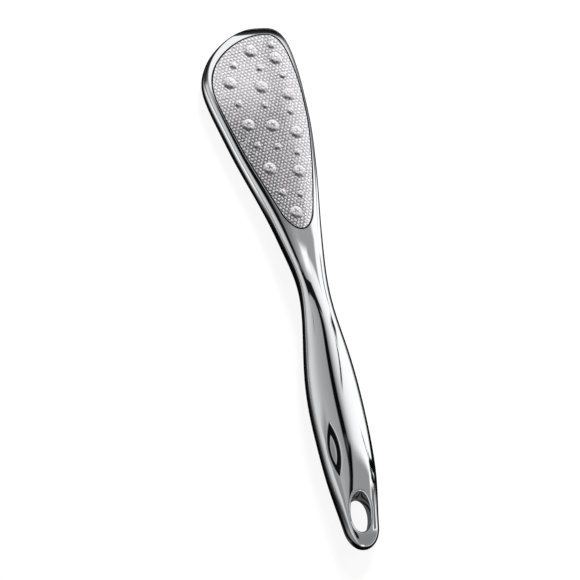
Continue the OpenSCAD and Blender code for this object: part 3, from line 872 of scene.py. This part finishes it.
def toothed_steel(name, teeth, sharpness, gap, crown, rough, distance, strength):
    """Etched steel: bright tooth crowns over dark gaps, with the painted shading and sheen, the polish and
    the painted dome shade that it carries.
    """
    material, tree, shader = new_material(name, ETCHED_METAL)
    tooth = placed(tree, TOOTH_LATTICE, Teeth_Per_Metre=teeth, Sharpness=sharpness)["Tooth"]
    haze = placed(tree, POLISH_HAZE, Cloud_Scale=120, Grain_Scale=1800)
    polished = carried(tree, "polish")
    grain = ranged(tree, haze["Grain"], -GRAIN_SHARE, GRAIN_SHARE, *WIDE_NOISE)
    grit = math_node(tree, "ADD", tooth, grain)
    mask = ranged(tree, grit, 0, 1, *GAP_TO_CROWN)
    bright = colored(tree, mask, gap, crown)
    # Painted shading: a darker copy of the etching, used where no painted sheen lights the sheet
    dull = colored(tree, mask, shaded(gap, SHADED_GAP), shaded(crown, SHADED_CROWN))
    slopes = colored(tree, ranged(tree, haze["Grain"], 0, 1, *NOISE), shaded(crown, SLOPE_DARK),
                     shaded(crown, SLOPE_BRIGHT))
    # Painted shadow: darkened tones for the creases and the handle side of the domes' feet
    in_shade = colored(tree, mask, shaded(crown, DOME_SHADE_GAP), shaded(crown, DOME_SHADE_CROWN))
    color = colored(tree, carried(tree, "dullness"), bright, dull)
    color = colored(tree, polished, color, slopes)
    color = colored(tree, carried(tree, "grime"), color, in_shade)
    tree.links.new(color, shader.inputs["Base Color"])
    tree.links.new(ranged(tree, polished, ETCHED_METAL, DOMED_METAL), shader.inputs["Metallic"])
    roughness = ranged(tree, haze["Cloud"], rough - ROUGH_PLAY, rough + ROUGH_PLAY)
    tree.links.new(roughness, shader.inputs["Roughness"])
    bumped(tree, shader, grit, distance, strength)
    return material


def grained(name, metallic, scales, colors, color_by, rough, rough_by, bump=None, specular=0.5):
    """A plain finish whose colour and roughness each run between two values by the haze."""
    material, tree, shader = new_material(name, metallic)
    haze = placed(tree, POLISH_HAZE, Cloud_Scale=scales[0], Grain_Scale=scales[1])
    tree.links.new(colored(tree, haze[color_by], *colors), shader.inputs["Base Color"])
    tree.links.new(ranged(tree, haze[rough_by], *rough), shader.inputs["Roughness"])
    shader.inputs["Specular IOR Level"].default_value = specular
    if bump:
        bumped(tree, shader, haze["Grain"], *bump)
    return material


CHROME = chrome_plating("chrome_plating", with_dish=False)
DISH_CHROME = chrome_plating("dish_chrome_plating", with_dish=True)

# Painted shade of the seams: near-black inside the plates' pockets and on the sheets' edges
SEAM_SHADE_PAINT = grained("painted_seam_shade", 0, (200, 2500), ((0.004, 0.004, 0.005), (0.009, 0.009, 0.01)), "Grain",
                rough=(0.7, 0.85), rough_by="Cloud", specular=0.1)

RASP_STEEL = toothed_steel("rasp_steel", teeth=TEETH_PER_MM / MM, sharpness=1.3, gap=(0.48, 0.47, 0.49),
                           crown=(1, 0.98, 1), rough=0.26, distance=0.00014, strength=0.8)
FINE_STEEL = toothed_steel("fine_steel", teeth=1300, sharpness=1.2, gap=(0.4, 0.4, 0.41),
                           crown=(0.9, 0.9, 0.9), rough=0.36, distance=0.00006, strength=0.5)

# Grey foam tape with a fine fibre grain
TAPE = grained("adhesive_tape", 0, (200, 2500), ((0.03, 0.03, 0.032), (0.09, 0.09, 0.095)), "Grain",
               rough=(0.6, 0.8), rough_by="Cloud", bump=(0.00005, 0.4))

# Bright drawn steel with a slightly cloudy surface, for the stiffener and screws
STEEL = grained("plain_steel", 1, (300, 4000), ((0.5, 0.5, 0.51), (0.66, 0.66, 0.67)), "Cloud",
                rough=(0.25, 0.42), rough_by="Grain", bump=(0.00002, 0.2))


def rasp_floor_z(x, y):
    """The floor of the rasp plate's pocket, under sheet and tape."""
    return front_z(x, y) - PLATE_T - TAPE_T


def level_z(height):
    """A flat surface at one height."""
    return lambda x, y: height


front = shell("front_shell_chrome", front_z, 1, plate_outline, rasp_floor_z, (DISH_CHROME, SEAM_SHADE_PAINT))
back = shell("back_shell_chrome", back_z, -1, fine_outline, level_z(FINE_T + TAPE_T), (CHROME, SEAM_SHADE_PAINT))
# The rasp sheet carries a painted sheen and shading, and painted shade at its domes' feet
rasp = sheet("rasp_sheet", sheet_outline, sum(PLATE_ROWS), PLATE_COLUMNS, rasp_z, PLATE_T,
             (RASP_STEEL, SEAM_SHADE_PAINT), TOOTHED_CRISP_EDGE, dullness=dullness, polish=polish, grime=grime)
fine = sheet("fine_sheet", fine_outline, HEAD_STEPS, FINE_COLUMNS, level_z(FINE_T), FINE_T,
             (FINE_STEEL, SEAM_SHADE_PAINT), CRISP_EDGE)
for piece, node_name, slot in ((front, "front_shell", "chrome_shell"), (back, "back_shell", "chrome_shell"),
                               (rasp, "rasp_plate", "etched_steel"), (fine, "fine_plate", "etched_steel")):
    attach(piece, "root")
    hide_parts(node_name)

for node_name, material in (("rasp_plate_tape", TAPE), ("fine_plate_tape", TAPE),
                            ("stiffener_bar", STEEL), ("shell_screws", STEEL)):
    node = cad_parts[node_name]
    node.data.materials.clear()
    node.data.materials.append(material)

# Camera: a long lens from above, left of the file and towards its handle, rolled to the right
CAMERA_AZIMUTH, CAMERA_ELEVATION, CAMERA_ROLL = -29.5, 61.6, 21.4
CAMERA_AIM = Vector((-2.022, -3.709, 6)) * MM
CAMERA_DISTANCE, CAMERA_REACH = 1.6038, 20
CAMERA_LENS = 232.9

azimuth, elevation = math.radians(CAMERA_AZIMUTH), math.radians(CAMERA_ELEVATION)
backward = Vector((math.sin(azimuth) * math.cos(elevation), -math.cos(azimuth) * math.cos(elevation),
                   math.sin(elevation)))
level = Vector((math.cos(azimuth), math.sin(azimuth), 0))
roll = Matrix.Rotation(math.radians(CAMERA_ROLL), 3, backward)
camera_right, camera_up = roll @ level, roll @ backward.cross(level)
camera_data = bpy.data.cameras.new("camera")
camera_data.lens = CAMERA_LENS
camera_data.clip_end = CAMERA_REACH
camera = bpy.data.objects.new("camera", camera_data)
bpy.context.scene.collection.objects.link(camera)
camera.matrix_world = Matrix.Translation(CAMERA_AIM + backward * CAMERA_DISTANCE) @ Matrix(
    (camera_right, camera_up, backward)).transposed().to_4x4()
bpy.context.scene.camera = camera


# Stage: white world, pale floor, and cards that only reflections see
def background_share(tree):
    """1 for what the camera sees straight on, in a reflection or through glass."""
    path = tree.nodes.new("ShaderNodeLightPath")
    seen = math_node(tree, "MAXIMUM", path.outputs["Is Camera Ray"], path.outputs["Is Glossy Ray"])
    return math_node(tree, "MAXIMUM", seen, path.outputs["Is Transmission Ray"])


AMBIENT = 0.12
world = bpy.data.worlds.new("studio")
bpy.context.scene.world = world
world.use_nodes = True
tree = world.node_tree
background = tree.nodes["Background"]
background.inputs["Color"].default_value = (1, 1, 1, 1)
tree.links.new(ranged(tree, background_share(tree), AMBIENT, 1), background.inputs["Strength"])


def stage_material(name, base=0):
    """A matt grey surface that shines by an amount of its own."""
    material, tree, shader = new_material(name, 0)
    shader.inputs["Base Color"].default_value = (base, base, base, 1)
    shader.inputs["Roughness"].default_value = 1
    shader.inputs["Specular IOR Level"].default_value = 0
    shader.inputs["Emission Color"].default_value = (1, 1, 1, 1)
    return material, tree, shader


def stage_piece(bm, name, material, seen=False):
    """A piece of the stage, attached to no body. Unless it is seen, only reflections show it."""
    mesh = bpy.data.meshes.new(name)
    bm.to_mesh(mesh)
    bm.free()
    mesh.materials.append(material)
    obj = bpy.data.objects.new(name, mesh)
    obj.visible_camera = seen
    obj.visible_diffuse = seen
    obj.visible_shadow = seen
    bpy.context.scene.collection.objects.link(obj)


FLOOR_BASE, FLOOR_GLOW, FLOOR_HALF = 0.14, 0.91, 6


def pale_floor():
    """The near-white floor that the file lies on."""
    material, tree, shader = stage_material("pale_floor", FLOOR_BASE)
    tree.links.new(ranged(tree, background_share(tree), 0, FLOOR_GLOW), shader.inputs["Emission Strength"])
    bm = bmesh.new()
    bmesh.ops.create_grid(bm, x_segments=2, y_segments=2, size=FLOOR_HALF)
    stage_piece(bm, "floor", material, seen=True)


pale_floor()

# The share of light that the chrome gives back
CHROME_SHARE = 0.87


def glow(tone):
    """The strength at which chrome shows a screen tone of 0 to 255."""
    v = tone / 255
    linear = v / 12.92 if v < 0.04 else ((v + 0.055) / 1.055) ** 2.4
    return linear / CHROME_SHARE


# Tones of the reflected studio by angle from straight up, negative to the left, and the tables' limits
SIDE_LIMIT, END_LIMIT = 100, 90
STUDIO_TONES = [(-100, 80), (-90, 95), (-80, 150), (-70, 196), (-60, 207), (-50, 203), (-40, 194),
                (-30, 178), (-20, 165), (-10, 157), (0, 150), (6.5, 146), (8, 8), (15, 8), (16.5, 120),
                (20, 165), (25, 205), (30, 226), (36, 238), (45, 246), (60, 252), (88, 253), (96, 240)]

# Beyond the head's tip: the share of its own tones by angle towards the tip, and those tones by height
END_SHARES = [(31, 0), (37, 0.9), (45, 1)]
END_TONES = [(0, 10), (23, 18), (37, 42), (53, 105), (65, 180), (80, 210)]
STUDIO_RADIUS, STUDIO_FOOT, STUDIO_STEPS = 1.4, 0.001, 96


def ramp(tree, angle, low, high, stops):
    """A smooth table of grey strengths by angle, between a low and a high limit."""
    node = tree.nodes.new("ShaderNodeValToRGB")
    elements = node.color_ramp.elements
    for i, (stop, strength) in enumerate(stops):
        at = (stop - low) / (high - low)
        element = elements[i] if i < 2 else elements.new(at)
        element.position = at
        element.color = (strength, strength, strength, 1)
    tree.links.new(ranged(tree, angle, 0, 1, low, high), node.inputs["Fac"])
    return node.outputs["Color"]


def studio_dome():
    """A half dome of soft cards round the file: grey on the left, a dark gap, bright on the right."""
    material, tree, shader = stage_material("studio_cards")
    x, y, z = split_place(tree)

    def angle(a, b):
        return math_node(tree, "DEGREES", math_node(tree, "ARCTAN2", a, b))

    def rising(a, b, c):
        """Angle of a direction from the plane that a stands on."""
        squares = [math_node(tree, "MULTIPLY", v, v) for v in (b, c)]
        return angle(a, math_node(tree, "SQRT", math_node(tree, "ADD", *squares)))
    lateral = ramp(tree, angle(x, z), -SIDE_LIMIT, SIDE_LIMIT, [(a, glow(tone)) for a, tone in STUDIO_TONES])
    end_share = ramp(tree, rising(y, x, z), 0, END_LIMIT, END_SHARES)
    end_tone = ramp(tree, rising(z, x, y), 0, END_LIMIT, [(a, glow(tone)) for a, tone in END_TONES])
    tree.links.new(colored(tree, end_share, lateral, end_tone), shader.inputs["Emission Color"])
    shader.inputs["Emission Strength"].default_value = 1
    bm = bmesh.new()
    bmesh.ops.create_uvsphere(bm, u_segments=STUDIO_STEPS, v_segments=STUDIO_STEPS // 2, radius=STUDIO_RADIUS)
    bmesh.ops.bisect_plane(bm, geom=bm.verts[:] + bm.edges[:] + bm.faces[:], plane_co=(0, 0, STUDIO_FOOT),
                           plane_no=(0, 0, 1), clear_inner=True)
    stage_piece(bm, "studio_dome", material)


studio_dome()

# Tones of the floor in reflections, on the middle line and then by distance out from the file's outline:
# left of the grip, left of the head, right of the grip and right of the head
FLOOR_RINGS = [(0, 5, 5, 5, 5), (0, 6, 6, 6, 6), (3, 6, 8, 10, 8), (5, 6, 60, 12, 8), (8, 7, 150, 14, 10),
               (12, 8, 205, 18, 14), (18, 20, 228, 26, 22), (26, 34, 240, 42, 38), (38, 52, 246, 80, 60),
               (77, 76, 250, 190, 110), (200, 86, 252, 244, 160), (600, 90, 252, 250, 230),
               (1300, 92, 252, 252, 252)]

# Steps round each side, height of the middle line, and how much higher each next ring lies
FLOOR_STEPS, SHADE_Z, SHADE_STEP_Z = 120, 0.2, 0.01

# Where along the file the tones of the grip give way to those of the head, and of its tip
HEAD_SHADE_Y, TIP_SHADE_Y = (28, 50), (100, 114)

# The lighter tone left of the handle's end, from the given distance outwards
END_SHADE, END_SHADE_Y, END_SHADE_REACH = 125, (-98, -118), 12


def floor_tone(side, ring, y):
    """Tone of one ring of the floor, left or right of the file, at a place along it."""
    reach, grip_left, head_left, grip_right, head_right = FLOOR_RINGS[ring]
    head = rise(y, *HEAD_SHADE_Y)
    if side > 0:
        return mix(grip_right, head_right, head)
    left = mix(grip_left, head_left, head * (1 - rise(y, *TIP_SHADE_Y)))
    if reach > END_SHADE_REACH:
        left = mix(left, max(left, END_SHADE), rise(y, *END_SHADE_Y))
    return left


def floor_shade():
    """The floor's shade round the file, seen only in reflections."""
    material, tree, shader = stage_material("floor_shade")
    tree.links.new(carried(tree, "shade"), shader.inputs["Emission Strength"])
    bm = bmesh.new()
    shade = bm.verts.layers.float.new("shade")
    for side in (-1, 1):
        def point(k, ring):
            angle = math.pi * (k / FLOOR_STEPS - 0.5)
            reach = FLOOR_RINGS[ring][0]
            y = TIP_Y * math.sin(angle)
            out = (half_w(y) if ring else 0) + reach * math.cos(angle)
            return mid_x(y) + side * out, y + reach * math.sin(angle), SHADE_Z + SHADE_STEP_Z * ring
        for vert in patch(bm, FLOOR_STEPS, len(FLOOR_RINGS) - 1, point):
            ring = round((vert.co.z / MM - SHADE_Z) / SHADE_STEP_Z)
            vert[shade] = glow(floor_tone(side, ring, vert.co.y / MM))
    stage_piece(bm, "floor_shade", material)


floor_shade()

CARD_STEPS, SIDE_CARD_X = 24, 200


def soft_card(name, centre, half_size, tone, soft, turn=0, upright=False):
    """A flat card that only reflections see, lying or upright, faded over the soft share of each half."""
    material, tree, shader = stage_material(name)
    shader.inputs["Emission Strength"].default_value = glow(tone)
    tree.links.new(carried(tree, "fade"), shader.inputs["Alpha"])
    bm = bmesh.new()
    fade = bm.verts.layers.float.new("fade")
    bmesh.ops.create_grid(bm, x_segments=CARD_STEPS, y_segments=CARD_STEPS, size=1)
    for vert in bm.verts:
        vert[fade] = rise(1 - max(abs(vert.co.x), abs(vert.co.y)), 0, soft)
    turned = Matrix.Rotation(math.radians(turn), 3, "Z")
    if upright:
        turned = Matrix.Rotation(math.radians(-90), 3, "Y") @ turned
    bmesh.ops.scale(bm, vec=(half_size[0] * MM, half_size[1] * MM, 1), verts=bm.verts)
    bmesh.ops.rotate(bm, cent=(0, 0, 0), matrix=turned, verts=bm.verts)
    bmesh.ops.translate(bm, vec=Vector(centre) * MM, verts=bm.verts)
    stage_piece(bm, name, material)


def soft_streak(name, start, end, height, half_width, tone, soft=0.6):
    """A narrow soft card between two places, lying at a height."""
    run_x, run_y = end[0] - start[0], end[1] - start[1]
    centre = ((start[0] + end[0]) / 2, (start[1] + end[1]) / 2, height)
    half_size = (math.hypot(run_x, run_y) / 2 + half_width, half_width)
    soft_card(name, centre, half_size, tone, soft, turn=math.degrees(math.atan2(run_y, run_x)))


def side_card(name, low, high, tone, soft, turn=0):
    """An upright soft card on the file's right, between two corners given as y and z."""
    centre = (SIDE_CARD_X, (low[0] + high[0]) / 2, (low[1] + high[1]) / 2)
    half_size = ((high[1] - low[1]) / 2, (high[0] - low[0]) / 2)
    soft_card(name, centre, half_size, tone, soft, turn, upright=True)


soft_card("grey_card_low", (100, -95, 100), (85, 52), tone=142, soft=0.35)
soft_card("grey_card_end", (115, -270, 99), (120, 180), tone=128, soft=0.3)
soft_card("grey_card_left", (-80, -60, 99), (52, 52), tone=134, soft=0.6)
soft_card("dark_card_neck", (-4, 90, 100), (31, 48), tone=14, soft=0.25)
soft_card("white_card_tip", (8, 166, 99), (36, 30), tone=240, soft=0.35)
soft_card("black_card_neck", (2, 36, 98), (42, 10.5), tone=18, soft=0.1)
soft_card("grey_card_neck", (78, 86, 100), (42, 20), tone=150, soft=0.4, turn=-8)
soft_card("white_card_neck", (51, 66, 97), (13, 14), tone=252, soft=0.7)
soft_card("grey_card_hole", (5.5, -111, 0.32), (9, 13), tone=78, soft=0.25)
soft_streak("streak_neck", (195, 108), (300, 150), height=97, half_width=9, tone=130)
soft_streak("streak_grip", (95, 31), (205, 92), height=97, half_width=8, tone=30)
soft_streak("streak_grip_low", (50, -13), (101, 34), height=97, half_width=3.5, tone=60)
soft_streak("streak_hole", (138, -16), (240, -14), height=97, half_width=5, tone=10)
soft_streak("streak_hole_low", (234, -14), (560, 70), height=96, half_width=16, tone=8)
soft_streak("streak_line", (31, -52), (25, -67), height=95, half_width=5.5, tone=6, soft=0.5)
soft_streak("streak_line_low", (24.5, -58), (29, -92), height=95.5, half_width=5.5, tone=6, soft=0.35)
soft_streak("streak_end", (23, -90), (33, -160), height=97, half_width=6, tone=6, soft=0.35)
soft_streak("streak_floor", (25, -86), (215, -36), height=0.6, half_width=22, tone=8, soft=0.4)
for part, x in (("first", 0.4), ("second", 2.8), ("third", 5.2), ("fourth", 7.6)):
    soft_streak("streak_wall_" + part, (x, -120), (x + 3, -100), height=0.4, half_width=0.8, tone=6, soft=0.5)
side_card("dark_card_low", (-48, -20), (-27, 96), tone=8, soft=0.3)
side_card("dark_card_rim", (-68, -30), (-46, 90), tone=8, soft=0.35, turn=12)
side_card("grey_card_rim", (-92, 28), (-60, 108), tone=105, soft=0.4)
side_card("grey_card_side", (-620, -40), (-84, 280), tone=130, soft=0.1)
side_card("grey_card_head", (122, -15), (256, 92), tone=120, soft=0.15)


def lamp(name, direction, distance, size, power):
    """A square soft light that faces the file and that the chrome doesn't mirror."""
    data = bpy.data.lights.new(name, "AREA")
    data.shape = "SQUARE"
    data.size = size
    data.energy = power
    obj = bpy.data.objects.new(name, data)
    spot = Vector(direction).normalized() * distance
    obj.matrix_world = Matrix.Translation(spot) @ spot.to_track_quat("Z", "Y").to_matrix().to_4x4()
    obj.visible_glossy = False
    bpy.context.scene.collection.objects.link(obj)


lamp("tip_softbox", (0.3, 0.8, 0.55), distance=1.2, size=0.4, power=26)
lamp("right_softbox", (0.9, 0.1, 0.4), distance=1.2, size=0.9, power=5)

bpy.context.scene.view_settings.view_transform = "Standard"
